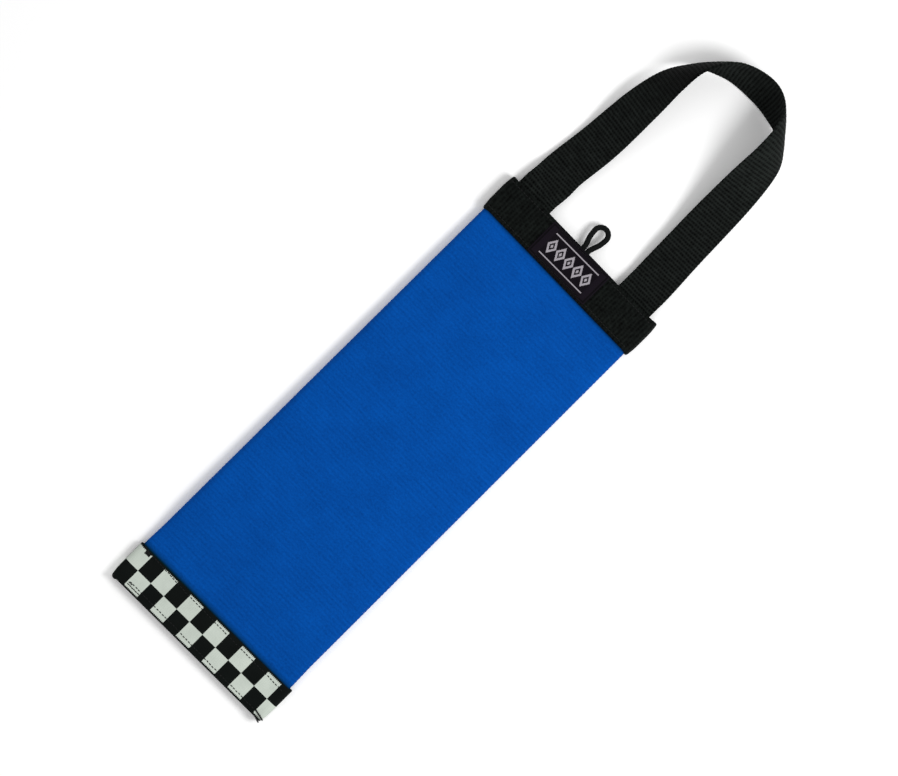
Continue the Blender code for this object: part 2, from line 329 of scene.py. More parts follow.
def webbing_finish(name, crown, relief, patchy, painted_light_marks=()):
    """Webbing whose ribs stand out by a share, relief. The marks paint shade or highlights on stretches of
    it: (distance along, reach, light lost), and a negative loss is a painted highlight.
    """
    finish = Finish(name, Specular_IOR_Level=0.04)
    along, across = cloth_place(finish)
    wander = clouds(finish, along, across, 170.0) - 0.5
    weave = ribbed_weave(finish, along + wander * ALONG_WANDER, across + wander * ACROSS_WANDER,
                         WEBBING_RIB, WEBBING_BEAD, WEBBING_HOLES, 0.5)
    weave = (weave - WEBBING_MEAN) * relief + WEBBING_MEAN
    streak = fibres(finish, along, across, 0.003, 0.00015)
    wear = finish.noise(finish.vector(along, across, 0.3), 140.0)
    patch = fibres(finish, along, across, 0.0021, 0.0026)
    light = weave * (0.2 + wear * 0.95) + streak * 0.2 + (patch - 0.5) * patchy - 0.05
    # painted light: each mark darkens or lightens the colour over a stretch of the webbing
    for middle, reach, painted_light_lost in painted_light_marks:
        near = finish.maths("MAXIMUM", 1.0 - finish.maths("ABSOLUTE", along - middle) / reach, 0.0)
        light = light * (1.0 - near * painted_light_lost)
    tone = finish.mix(light, colour(0, 0, 0), crown)
    return finish.end(tone, weave + streak * 0.1, WEBBING_RELIEF, 0.85 - weave * 0.2)


# Painted shade and painted highlights along the handle. A negative loss is a painted highlight.
HANDLE_PAINTED_LIGHT = ((0.131, 0.028, 0.90), (0.160, 0.015, -0.50), (0.226, 0.030, -0.45), (0.309, 0.050, 0.15))
webbing_material = webbing_finish("black_webbing", colour(30, 34, 32), 1.0, 1.0, HANDLE_PAINTED_LIGHT)
band_material = webbing_finish("handled_webbing", colour(20, 24, 22), relief=0.5, patchy=1.6)

# %% [markdown]
# The ribbon is a check woven in black and white, two rows of squares between thin black edges. Squares
# are counted along the ribbon and across it, and one is white where the two counts differ in parity. Yarn
# noise moves the borders a little, and fine cross ribs show best on the white.

# %% Checked ribbon finish
CHECK = 0.0104
CHECK_START = -0.0502
SELVAGE = 0.0011
ROW_HEIGHT = 0.01155
TOOTH, TOOTH_DEPTH = 0.00105, 0.0004
INNER_HEM, OUTER_HEM = 0.0002, 0.0007
RIBBON_RIB = 0.0006
RIBBON_RELIEF = 0.00012


def ribbon_finish():
    finish = Finish("checked_ribbon", Specular_IOR_Level=0.05, Roughness=0.85)
    along, across = cloth_place(finish)
    jitter = fibres(finish, along, across, 0.0007, 0.0004) - 0.5
    down = across * -1.0
    count = finish.maths("FLOOR", (along - CHECK_START) / CHECK + jitter * 0.03)
    row = down + jitter * 0.0002 > SELVAGE + ROW_HEIGHT
    odd = finish.maths("FLOORED_MODULO", count + row, 2.0)
    tooth = (finish.wave(along, TOOTH) > 0.5) * TOOTH_DEPTH
    inside = (down + tooth > SELVAGE + INNER_HEM) * (down - tooth < SELVAGE + 2 * ROW_HEIGHT - OUTER_HEM)
    weave = finish.wave(along, RIBBON_RIB) * 0.6 + finish.wave(across, RIBBON_RIB) * 0.4
    shade = weave * 0.5 + clouds(finish, along, across, 90.0) * 0.5
    dark = finish.mix(shade, colour(3, 5, 5), colour(22, 26, 24))
    pale = finish.mix(shade, colour(175, 184, 175), colour(230, 239, 228))
    return finish.end(finish.mix(odd * inside, dark, pale), weave, RIBBON_RELIEF)


ribbon_material = ribbon_finish()

# %% [markdown]
# The label is a satin patch of very fine floats, with a soft sheen that the webbing round it lacks.
# Makers weave their marks here, but this one has only a row of lozenges between two lines. A lozenge is
# where the distances from its middle, along and across, add up to little.

# %% Label finish
LABEL_WIDTH = 0.045
LABEL_X = -0.0006
LABEL_HEIGHT = 0.0224
TURNED_END = 0.0052
LOZENGE_PITCH = 0.0068
LOZENGE_LENGTH, LOZENGE_HEIGHT = 0.0064, 0.0104
LOZENGES = 5
LINE_AT, LINE_WIDTH = 0.0068, 0.0006
SEAM_OUTSIDE, SEAM_INSIDE = 0.0007, 0.0016
TWILL_PITCH, SATIN_YARN = 0.00042, 0.00028
LABEL_RELIEF = 0.00008


def label_finish():
    finish = Finish("label_satin", Specular_IOR_Level=0.05, Roughness=0.6)
    along, across = cloth_place(finish)
    weave = finish.wave(along + across, TWILL_PITCH) * 0.5 + finish.wave(across, SATIN_YARN) * 0.5
    cloud = clouds(finish, along, across, 150.0)
    fleck = fibres(finish, along, across, 0.0006, 0.0003)
    from_middle, from_line = finish.maths("ABSOLUTE", along), finish.maths("ABSOLUTE", across)
    from_end, from_side = LABEL_WIDTH / 2 - from_middle, LABEL_HEIGHT / 2 - from_line
    seam = finish.maths("MINIMUM", from_end, from_side)
    # the seam channel's band, which gets painted shade
    painted_seam_shade = (seam > SEAM_OUTSIDE) * (seam < SEAM_INSIDE)
    phase = finish.maths("FLOORED_MODULO", along + LOZENGE_PITCH / 2, LOZENGE_PITCH) - LOZENGE_PITCH / 2
    reach = finish.maths("ABSOLUTE", phase) / (LOZENGE_LENGTH / 2) + from_line / (LOZENGE_HEIGHT / 2)
    reach = reach + (fleck - 0.5) * 0.35
    rings = (reach < 1.0) * (reach > 0.56) + (reach < 0.26)
    lines = (from_line > LINE_AT) * (from_line < LINE_AT + LINE_WIDTH + fleck * 0.0002)
    figure = finish.maths("MINIMUM", rings + lines, 1.0) * (from_middle < LOZENGE_PITCH * LOZENGES / 2)
    # the turned ends are painted lighter, a painted highlight, and the seam channel darker, a painted shade
    turned = (from_end < TURNED_END) * 0.4
    shade = weave * 0.5 + cloud * 0.5 + turned - painted_seam_shade * 0.8
    dark = finish.mix(shade, colour(2, 1, 3), colour(21, 15, 24))
    pale = finish.mix(weave * 0.4 + fleck * 0.6, colour(104, 99, 106), colour(206, 200, 207))
    return finish.end(finish.mix(figure, dark, pale), weave + figure * 0.8, LABEL_RELIEF)


label_material = label_finish()

# %% [markdown]
# The cord's braid is modelled, so its nodes only add fibres. Thread is a smaller thing still: two plies
# with a waxy shine. The lining and the foam are sewn in, and show only at the open tail.

# %% Cord, thread, lining and foam finishes
PLY_PITCH = 0.0005


def cord_finish():
    finish = Finish("braided_cord", Specular_IOR_Level=0.08, Roughness=0.75)
    along, across = cloth_place(finish)
    streak = fibres(finish, along + across, across, 0.0006, 0.00012)
    return finish.end(finish.mix(streak, colour(1, 2, 2), colour(20, 22, 22)), streak, 0.00006)


def thread_finish():
    finish = Finish("black_thread", Specular_IOR_Level=0.12, Roughness=0.6)
    x, y, z = finish.parts(finish.object_place())
    ply = finish.wave(x + y + z, PLY_PITCH)
    return finish.end(finish.mix(ply, colour(4, 4, 5), colour(30, 31, 31)), ply, 0.00006)


def lining_finish():
    finish = Finish("rubber_lining", Specular_IOR_Level=0.3)
    print_through = finish.noise(finish.object_place(), 900.0, 1.0)
    tone = finish.mix(print_through, colour(34, 34, 35), colour(58, 58, 59))
    return finish.end(tone, print_through, 0.0001, 0.5 + print_through * 0.2)


def foam_finish():
    finish = Finish("closed_cell_foam", Specular_IOR_Level=0.2)
    cells = finish.node("ShaderNodeTexVoronoi", {}, {"Vector": finish.object_place(), "Scale": 1200.0})
    tone = finish.mix(cells, colour(222, 222, 214), colour(186, 186, 178))
    return finish.end(tone, cells, 0.0003, 0.8 + cells * 0.15)


cord_material, thread_material = cord_finish(), thread_finish()
for node, material in (("hose_liner", lining_finish()), ("foam_core", foam_finish())):
    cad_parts[node].data.materials.clear()
    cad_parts[node].data.materials.append(material)

# %% [markdown]
# New pieces are modelled as by hand: a primitive, shaped in edit mode, then modifiers that are applied.
# Small helpers do what the mouse would. A piece's cloth map is laid while it is still flat, when distance
# along the cloth is simply a coordinate.

# %% Modelling helpers
import bmesh


def choose(piece):
    """Make the piece the active one, and the only one selected."""
    bpy.ops.object.select_all(action="DESELECT")
    bpy.context.view_layer.objects.active = piece
    piece.select_set(True)


def add_piece(name, add, **how):
    bpy.ops.object.select_all(action="DESELECT")
    add(**how)
    bpy.context.object.name = name
    return bpy.context.object


def edit(piece):
    choose(piece)
    bpy.ops.object.mode_set(mode="EDIT")


def pick(piece, test):
    """Select the vertices whose place passes the test, and the edges and faces between them."""
    bpy.ops.mesh.select_mode(type="VERT")
    bpy.ops.mesh.select_all(action="DESELECT")
    cage = bmesh.from_edit_mesh(piece.data)
    for vertex in cage.verts:
        vertex.select = bool(test(vertex.co))
    cage.select_flush_mode()
    bmesh.update_edit_mesh(piece.data)


def cut(places, direction):
    """Cut the whole piece across, at each place along the direction."""
    for place in places:
        bpy.ops.mesh.select_all(action="SELECT")
        bpy.ops.mesh.bisect(plane_co=[place * x for x in direction], plane_no=direction)


def face_outwards():
    """Turn every face of the piece that is being edited outwards, and leave edit mode."""
    bpy.ops.mesh.select_all(action="SELECT")
    bpy.ops.mesh.normals_make_consistent(inside=False)
    bpy.ops.object.mode_set(mode="OBJECT")


def apply_modifier(piece, kind, **settings):
    modifier = piece.modifiers.new(kind.lower(), kind)
    for name, value in settings.items():
        setattr(modifier, name, value)
    bpy.context.view_layer.objects.active = piece
    bpy.ops.object.modifier_apply(modifier=modifier.name)


def repeat(piece, count, pitch, **settings):
    """Copy the piece in a row along X, one pitch apart."""
    apply_modifier(piece, "ARRAY", count=count, use_relative_offset=False, use_constant_offset=True,
                   constant_offset_displace=(pitch, 0, 0), **settings)


def settle(piece):
    """Put the piece's place into its mesh, and leave its object at the origin."""
    choose(piece)
    bpy.ops.object.transform_apply(location=True, rotation=True, scale=True)


def lay_cloth(piece, along=None, across=None):
    """Give the piece its cloth map, in metres worked out from each vertex's place, and no other map.

    A direction that is left out keeps what it has."""
    sheet = piece.data.uv_layers.get("cloth") or piece.data.uv_layers.new(name="cloth")
    for loop, spot in zip(piece.data.loops, sheet.data):
        place = piece.data.vertices[loop.vertex_index].co
        spot.uv = (along(place) if along else spot.uv.x, across(place) if across else spot.uv.y)
    for other in [layer.name for layer in piece.data.uv_layers if layer.name != "cloth"]:
        piece.data.uv_layers.remove(piece.data.uv_layers[other])


def shape(piece, moved):
    """Push each vertex to the place that moved works out from where it is."""
    for vertex in piece.data.vertices:
        vertex.co = moved(vertex.co)
    piece.data.update()


def dress(piece, material, slot, *nodes, body="bumper"):
    """Give a piece its material, the CAD nodes that it stands for and the body it rides on.

    The slot is not used.
    """
    piece.data.materials.clear()
    piece.data.materials.append(material)
    choose(piece)
    bpy.ops.object.shade_smooth_by_angle(angle=math.radians(50))
    if nodes:
        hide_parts(*nodes)
    if body:
        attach(piece, body)
    print(piece.name, "has", len(piece.data.polygons), "faces")

# %% [markdown]
# The sleeve is a stuffed tube, so it is lofted: one outline of the flattened hose, drawn again every 0.7
# mm along its length. Padded cloth is often made by a simulation with pressure, which suits cushions that
# puff up. This jacket is stiff and lies flat, with a low ridge over the foam, so its outline is drawn
# instead. Half of it is worked out and mirrored, and only the top differs from side to side.

# %% The hose's outline
FILLED_HEIGHT = 0.0105
FILLED_FOLD = 0.0086
FILLED_CENTRE = FILLED_HEIGHT * 0.47
SWELL_LENGTH = 0.042
CROWN_POWER = 1.9
HOSE_SETBACK = 0.001
HOSE_END = HEAD_BAND_Y + 0.0225
WIDTH_MIDDLE = 0.1165
TAPER = 0.0052
FLARE, FLARE_LENGTH = 0.0009, 0.02
HOSE_ASIDE = 0.00065
RIDGE_LEFT, RIDGE_STEP = -0.016, 0.021
RIDGE_RIGHT, RIDGE_SLOPE = 0.0070, 0.045
RIDGE_HEIGHT, RIDGE_CHANGE = 0.00055, 0.0002
DENT_DEPTH = 0.00008
GROUND_FLAT = 0.6
UNDER_STEPS, FOLD_STEPS, TOP_STEPS = 12, 10, 32


def ease(share):
    share = min(max(share, 0.0), 1.0)
    return share * share * (3 - 2 * share)


def between(start, end, share):
    return start + (end - start) * share


def ridge_height(x, y):
    """How far the top stands up or sinks: the foam's edge makes a soft step left of the middle."""
    step = ease((x - RIDGE_LEFT) / RIDGE_STEP) * (1 - ease((x - RIDGE_RIGHT) / RIDGE_SLOPE))
    strength = RIDGE_HEIGHT + RIDGE_CHANGE * math.cos(y * 42 - 1.4)
    dents = math.sin(x * 61 + 1.3) * math.sin(y * 37 + 0.4) + 0.6 * math.sin(x * 97 - y * 23)
    return strength * (step - 0.35) + DENT_DEPTH * dents


def hose_outline(y, inset):
    """Points round the hose at y, from the middle of the underside, by the right fold, over the top."""
    if y > 0:
        swell = ease((HEAD_BAND_Y - y) / SWELL_LENGTH)
        fold, middle = HEAD_FOLD, HEAD_MIDDLE
    else:
        swell = ease((y - TAIL_BAND_Y) / SWELL_LENGTH)
        fold, middle = TAIL_FOLD, TAIL_MIDDLE
    width = WIDTH_MIDDLE - TAPER * min(max(y, TAIL_BAND_Y), HEAD_BAND_Y)
    width += FLARE * (1 - ease((y - TAIL_BAND_Y) / FLARE_LENGTH))
    radius = between(fold, FILLED_FOLD, swell) / 2
    centre = between(middle, FILLED_CENTRE, swell)
    top = between(middle + fold / 2, FILLED_HEIGHT, swell)
    bottom = between(middle - fold / 2, 0.0, swell)
    shoulder = width / 2 - radius
    half = []
    for share in np.arange(UNDER_STEPS) / UNDER_STEPS:
        rise = max(share - GROUND_FLAT, 0.0) / (1 - GROUND_FLAT)
        half.append((shoulder * share, bottom + inset + (centre - radius - bottom) * rise ** 2))
    for turn in np.radians(np.linspace(-90, 90, FOLD_STEPS + 1)):
        out, up = (radius - inset) * math.cos(turn), (radius - inset) * math.sin(turn)
        half.append((shoulder + out, centre + up))
    upper = []
    for i in range(1, TOP_STEPS):
        across = 1 - 2 * i / TOP_STEPS
        crown = (top - centre - radius) * (1 - abs(across) ** CROWN_POWER)
        lift = ridge_height(shoulder * across, y) * swell * (1 - across ** 4)
        upper.append((shoulder * across, centre + radius - inset + crown + lift))
    mirrored = [(-x, z) for x, z in reversed(half[1:])]
    return [(x + HOSE_ASIDE, z) for x, z in half + upper + mirrored]


print("points round the hose:", len(hose_outline(0.0, 0.0)))

# %% [markdown]
# A skin joins rings of points, for the sleeve and for the cord. It lays the cloth map too, because it
# knows how far along and how far round each point is.

# %% A skin over rings of points
def skin(name, rings, along, around, closed):
    """Mesh over rings of equal length.

    closed joins the last ring to the first, and otherwise both ends are capped."""
    count = len(rings[0])
    faces, cloth = [], []
    for i in range(len(rings) if closed else len(rings) - 1):
        following = (i + 1) % len(rings)
        for j in range(count):
            corners = ((i, j), (i, j + 1), (following, j + 1), (following, j))
            faces.append([ring * count + place % count for ring, place in corners])
            cloth += [(along[ring], around[place]) for ring, place in corners]
    if not closed:
        for ring, order in ((0, 1), (len(rings) - 1, -1)):
            faces.append([ring * count + j for j in range(count)][::-order])
            cloth += [(along[ring], around[j]) for j in range(count)][::-order]
    mesh = bpy.data.meshes.new(name)
    mesh.from_pydata([point for ring in rings for point in ring], [], faces)
    layer = mesh.uv_layers.new(name="cloth")
    for loop, place in zip(layer.data, cloth):
        loop.uv = place
    piece = bpy.data.objects.new(name, mesh)
    bpy.context.scene.collection.objects.link(piece)
    edit(piece)
    face_outwards()
    return piece


def distances(points):
    """How far along a line of points each point is."""
    reach = [0.0]
    for start, end in zip(points, points[1:]):
        reach.append(reach[-1] + math.dist(start, end))
    return reach


def place_at(far, reach, points):
    """The place that lies far along a line of points, given their distances."""
    return [np.interp(far, reach, values) for values in zip(*points)]

# %% [markdown]
# The cross yarns of the jacket make a low rib every 2.7 mm, which shows as a fine serration along its
# folds. The ribs are part of the mesh, four rings to each. Under the bands nothing shows, so there the
# rings are far apart. The inner wall is a plain outline 1.3 mm further in.

# %% Sleeve
RIB_RELIEF = 0.00007
RINGS_PER_RIB = 4
INNER_RINGS = 24


def rib_relief(y, start, end):
    """How far a ring stands in from the crown of a rib. Only the rings from start to end have ribs."""
    return RIB_RELIEF * (1 - math.cos(2 * math.pi * y / HOSE_RIB)) if start < y < end else RIB_RELIEF


def sleeve_rings():
    steps = (round((HEAD_BAND_Y - TAIL_BAND_Y) / HOSE_RIB) + 2) * RINGS_PER_RIB
    shown = [TAIL_BAND_Y - HOSE_RIB + HOSE_RIB * i / RINGS_PER_RIB for i in range(steps + 1)]
    low, high = TAIL_EDGE_Y + HOSE_SETBACK, HOSE_END
    outer = [low, (low + shown[0]) / 2, *shown, (high + shown[-1]) / 2, high]
    inner = [high, *np.linspace(HEAD_BAND_Y, TAIL_BAND_Y, INNER_RINGS), low]
    walls = [(y, rib_relief(y, shown[0], shown[-1])) for y in outer] + [(y, JACKET_WALL) for y in inner]
    rings = [[(x, y, z) for x, z in hose_outline(y, inset)] for y, inset in walls]
    return rings, [y for y, inset in walls]


rings, along = sleeve_rings()
filled_ring = rings[len(rings) // 3]
around = distances([*filled_ring, filled_ring[0]])
sleeve = skin("hose_sleeve", rings, along, around, closed=True)
dress(sleeve, hose_material, "hose", "hose_jacket")

# %% [markdown]
# Webbing is the same rib again and again, so one rib is modelled and an Array repeats it. It starts as a
# block with open ends, its long edges bevelled into round selvages. Cuts across it give a crown, which is
# swelled, and grooves, which are pinched. The finished strip is flat, straight and as long as the real
# one.

# %% A flat strip of ribbed webbing
ACROSS_CUTS = (-0.44, -0.3, -0.15, 0, 0.15, 0.3, 0.44)
SELVAGE_ROUND = 0.45


def ribbed_strip(name, length, width, thickness, rib, swell):
    ribs = round(length / rib)
    rib = length / ribs
    strip = add_piece(name, bpy.ops.mesh.primitive_cube_add, size=1)
    strip.scale = (rib, width, thickness)
    settle(strip)
    edit(strip)
    bpy.ops.mesh.select_mode(type="FACE")
    for side in (-1, 1):
        pick(strip, lambda place: place.x * side > rib * 0.49)
        bpy.ops.mesh.delete(type="ONLY_FACE")
    bpy.ops.mesh.select_all(action="SELECT")
    bpy.ops.mesh.bevel(offset=thickness * SELVAGE_ROUND, segments=3, affect="EDGES")
    cut([width * share for share in ACROSS_CUTS], (0, 1, 0))
    cut([rib * share for share in (-0.25, 0, 0.25)], (1, 0, 0))
    for change, inner, outer in ((swell, 0.0, 0.1), (-swell, 0.4, 1.0)):
        pick(strip, lambda place: rib * inner <= abs(place.x) < rib * outer)
        value = (1, 1 + change * thickness / width, 1 + change)
        bpy.ops.transform.resize(value=value, center_override=(0, 0, 0))
    bpy.ops.object.mode_set(mode="OBJECT")
    repeat(strip, ribs, rib, use_merge_vertices=True, merge_threshold=1e-6)
    strip.location.x = rib / 2
    settle(strip)
    edit(strip)
    bpy.ops.mesh.select_mode(type="EDGE")
    bpy.ops.mesh.select_all(action="DESELECT")
    bpy.ops.mesh.select_non_manifold()
    bpy.ops.mesh.fill_holes(sides=0)
    face_outwards()
    return strip


def curve_along(name, line):
    """A curve object through a line of (place, roll)."""
    curve = bpy.data.curves.new(name, "CURVE")
    curve.dimensions = "3D"
    spline = curve.splines.new("POLY")
    spline.points.add(len(line) - 1)
    for point, (place, roll) in zip(spline.points, line):
        point.co = (*place, 1.0)
        point.tilt = roll
    piece = bpy.data.objects.new(name, curve)
    bpy.context.scene.collection.objects.link(piece)
    return piece


def bend(strip, line, twist):
    """Bend a flat strip along a line of (place, roll): its length runs along the line."""
    guide = curve_along("route", line)
    guide.data.twist_mode = twist
    apply_modifier(strip, "CURVE", object=guide, deform_axis="POS_X")
    bpy.data.objects.remove(guide)

# %% [markdown]
# The head band is one length of webbing wrapped round the flattened hose, its ends meeting on the
# underside. Stitching pulls its edges in, so each side is a little barrel-shaped, and the selvages stand
# out as small ears at the folds. It was laid on by hand and eye, so it sits a shade askew.

# %% The line round the hose, and a band wrapped along it
BUTT_JOINT = 0.0006
BUTT_JOINT_X = 0.034
# The flattened hose in a band: its width, its thickness at the folds and the height of its middle. Then
# the thickness of the band itself.
Wrap = namedtuple("Wrap", "hose_width fold middle thickness")


def wrap_line(wrap, y):
    """The middle line of a strip round the flattened hose, from its butt joint round to it again."""
    radius = wrap.fold / 2 + GAP + wrap.thickness / 2
    shoulder = (wrap.hose_width - wrap.fold) / 2
    turns = np.radians(range(15, 180, 15))
    places = [(x, -radius) for x in np.linspace(BUTT_JOINT_X + BUTT_JOINT / 2, shoulder, 6)]
    places += [(shoulder + radius * math.sin(a), -radius * math.cos(a)) for a in turns]
    places += [(x, radius) for x in np.linspace(shoulder, -shoulder, 24)]
    places += [(-shoulder - radius * math.sin(a), radius * math.cos(a)) for a in turns]
    places += [(x, -radius) for x in np.linspace(-shoulder, BUTT_JOINT_X - BUTT_JOINT / 2, 18)]
    return [(Vector((x, y, wrap.middle + z)), 0.0) for x, z in places], shoulder, radius


def wrapped_band(name, wrap, aside, low_y, width, rib, swell, ear, skew, barrel):
    """A ribbed strip wrapped round the hose. barrel is how far its sides draw in at the lower edge and at
    the upper one. Its cloth map runs along X on the top, and down from its upper edge."""
    centre = low_y + width / 2
    line, shoulder, radius = wrap_line(wrap, centre)
    reach = distances([place for place, roll in line])
    band = ribbed_strip(name, reach[-1], width, wrap.thickness, rib, swell)
    top_start = next(far for far, (place, roll) in zip(reach, line)
                     if place.z > wrap.middle and place.x <= shoulder)
    ribs_per_metre = round(reach[-1] / rib) / reach[-1]
    half_way = round((shoulder + top_start) * ribs_per_metre)
    lay_cloth(band, along=lambda place: (half_way - place.x * ribs_per_metre) * rib)
    bend(band, line, "MINIMUM")
    lay_cloth(band, across=lambda place: place.y - low_y - width)

    def sewn(place):
        out = min(max((abs(place.x) - shoulder) / radius, 0.0), 1.0)
        share = (place.y - centre) / (width / 2)
        x = place.x - math.copysign(barrel[share > 0] * out * share ** 4, place.x)
        y = place.y + ear * out * share ** 3 - math.tan(skew) * x
        return Vector((x + aside, y, place.z))

    shape(band, sewn)
    return band

# %% [markdown]
# The head band is a little narrower than the webbing it is cut from, because two rows of stitches pull it
# in. Its height and its middle come from the flattened hose inside it.

# %% Head band
HEAD_ASIDE = 0.0009
HEAD_WIDTH = 0.1159
SEWN_LOW = HEAD_BAND_Y + 0.00045
SEWN_WIDTH = 0.0241
WEBBING_SWELL = 0.07

head_wrap = Wrap(HEAD_WIDTH, HEAD_FOLD, HEAD_MIDDLE, WEBBING_THICKNESS)
head_webbing = wrapped_band("head_webbing", head_wrap, HEAD_ASIDE, SEWN_LOW, SEWN_WIDTH, WEBBING_RIB,
                            WEBBING_SWELL, ear=0.0006, skew=HEAD_SKEW, barrel=(0.0009, 0.0009))
dress(head_webbing, band_material, "webbing", "head_band")

# %% [markdown]
# The tail binding is made the same way from a thinner ribbon with finer ribs. A wrapped band leaves the
# hose open at the tail, where the layers can be seen between its walls.

# %% Tail ribbon
TAIL_WIDTH = 0.1190
TAIL_ASIDE = 0.0009
TAIL_SKEW = math.radians(-0.37)
RIBBON_LOW = TAIL_EDGE_Y + 0.00026
RIBBON_SHOWN = 0.0250  # its hems curl a little

tail_wrap = Wrap(TAIL_WIDTH, TAIL_FOLD, TAIL_MIDDLE, RIBBON_THICKNESS)
tail_ribbon = wrapped_band("tail_ribbon", tail_wrap, TAIL_ASIDE, RIBBON_LOW, RIBBON_SHOWN, rib=0.0012,
                           swell=0.05, ear=0.0004, skew=TAIL_SKEW, barrel=(0.0011, 0.0))
dress(tail_ribbon, ribbon_material, "ribbon", "tail_band")

# %% [markdown]
# The handle is one strip of webbing that is sewn in at both ends. Between them it rises, rolls over on
# its edge at each shoulder and shows its other face along the top, where its lower edge rests on the
# ground. A straight strip is bent along a line that also says how far the cloth is rolled, which keeps
# its true length and width. The line follows the CAD's, a little lower on the right.

# %% The handle's line
LEG_ACROSS = 0.0412
HANDLE_REACH = 0.1291
HANDLE_RISE = 0.0170
HANDLE_TAIL = 0.019
STEPS = 10
# Shares of the legs' half spacing, the reach and the rise, then the roll of the webbing in degrees
HANDLE_SHARES = (
    (-1.00, 0.00, 0.00, 0), (-0.98, 0.06, 0.00, 0), (-0.97, 0.15, 0.00, 12), (-0.90, 0.34, 0.07, 15),
    (-0.85, 0.58, 0.55, 31), (-0.78, 0.75, 0.74, 52), (-0.63, 0.87, 0.68, 77), (-0.27, 0.97, 0.46, 108),
    (0.23, 1.00, 0.38, 122), (0.60, 0.96, 0.55, 104), (0.80, 0.89, 0.78, 69), (0.90, 0.79, 0.86, 44),
    (0.94, 0.63, 0.56, 26), (0.96, 0.43, 0.18, 15), (0.98, 0.23, -0.04, 11), (1.00, 0.06, 0.00, 0),
    (1.00, 0.00, 0.00, 0))


def handle_point(across, along, lift, degrees):
    """A route point of the handle, no lower than its rolled cloth lets it lie."""
    roll = math.radians(degrees)
    lowest = (WEBBING_WIDTH * abs(math.sin(roll)) + WEBBING_THICKNESS * abs(math.cos(roll))) / 2
    height = max(HEAD_MIDDLE + lift * HANDLE_RISE, lowest)
    return np.array((across * LEG_ACROSS, FLEX_Y + along * HANDLE_REACH, height, roll))


def smooth_line(points, steps):
    """Catmull-Rom curve through points of any number of values."""
    line = []
    for i in range(len(points) - 1):
        before, start, end, after = (points[min(max(k, 0), len(points) - 1)] for k in range(i - 1, i + 3))
        for share in np.arange(steps) / steps:
            square, cube = share ** 2, share ** 3
            leaving = (end - before) / 2 * (cube - 2 * square + share)
            arriving = (after - start) / 2 * (cube - square)
            passed = 3 * square - 2 * cube
            line.append(start * (1 - passed) + end * passed + leaving + arriving)
    return line + [points[-1]]


handle_points = [handle_point(*share) for share in HANDLE_SHARES]
free = [np.maximum(point, (-1, 0, HEAD_MIDDLE, 0)) for point in smooth_line(handle_points, STEPS)]
inside = [np.array((0, y - FLEX_Y, 0, 0)) for y in np.linspace(HEAD_EDGE_Y - HANDLE_TAIL, FLEX_Y, 8)[:-1]]
handle_line = [free[0] + step for step in inside] + free + [free[-1] + step for step in reversed(inside)]
handle_length = distances([point[:3] for point in handle_line])[-1]
print("handle webbing:", round(handle_length, 4), "long,", round(2 * HANDLE_TAIL, 4), "of it sewn in")

# %% [markdown]
# Stiff webbing that rolls over bows across its width, its middle towards the outer face, like a steel
# tape. The bow is put into the strip while it is still straight.

# %% Handle
BOW = 0.0028
BOW_START, BOW_GROWTH = 0.1105, 0.035
BOW_END, BOW_FADE = 0.2125, 0.038


def bowed(place):
    share = ease((place.x - BOW_START) / BOW_GROWTH) * (1 - ease((place.x - BOW_END) / BOW_FADE))
    return Vector((place.x, place.y, place.z + BOW * share * (1 - (2 * place.y / WEBBING_WIDTH) ** 2)))


handle = ribbed_strip("handle_webbing", handle_length, WEBBING_WIDTH, WEBBING_THICKNESS, WEBBING_RIB,
                      WEBBING_SWELL)
ribs_per_metre = round(handle_length / WEBBING_RIB) / handle_length
lay_cloth(handle, lambda place: place.x * ribs_per_metre * WEBBING_RIB, lambda place: place.y)
shape(handle, bowed)
bend(handle, [(Vector(point[:3]), -point[3]) for point in handle_line], "Z_UP")
dress(handle, webbing_material, "webbing", "handle_strap", "handle_tail_left", "handle_tail_right",
      body=None)
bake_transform(handle)

# %% [markdown]
# The loop is a short piece of braided cord with both ends sewn in. A woven picture on a tube would look
# smooth from the side, so the braid is in the mesh: two families of strands wind round the cord in
# opposite ways, and each rises where it passes over the other.

# %% Cord loop
CORD_DIAMETER = 0.0032
CORD_TAIL = 0.017
LOOP_X = 0.0008
LOOP_LENGTH = 0.0180
LOOP_WIDTH = 0.0119
LOOP_NECK = ((0.0018, 0.0010), (0.0026, 0.0037), (0.0038, 0.0073))  # aside, and past the band
CORD_SIDES = 36
RING_SPACING = 0.00022
STRANDS = 6
STRAND_LENGTH = 0.0016
BRAID_RELIEF = 0.13
BRAID_MEAN = 0.7  # near the mean height of the braid


def cord_line():
    """Points along the middle of the cord, from one sewn end round the loop to the other."""
    radius = CORD_DIAMETER / 2
    neck, bulge = radius + GAP / 2, LOOP_WIDTH / 2 - radius
    centre = HEAD_EDGE_Y + LOOP_LENGTH - radius - bulge
    half = [(-neck, HEAD_EDGE_Y - inside) for inside in (CORD_TAIL, CORD_TAIL / 2, 0.001)]
    half += [(-aside, HEAD_EDGE_Y + past) for aside, past in LOOP_NECK]
    arc = [(bulge * math.cos(a), centre + bulge * math.sin(a)) for a in np.radians(range(185, -6, -19))]
    places = half + arc + [(-x, y) for x, y in reversed(half)]
    rough = smooth_line([np.array((LOOP_X + x, y, HEAD_MIDDLE)) for x, y in places], 16)
    reach = distances(rough)
    count = round(reach[-1] / RING_SPACING)
    return [np.array(place_at(far, reach, rough)) for far in np.linspace(0, reach[-1], count + 1)]


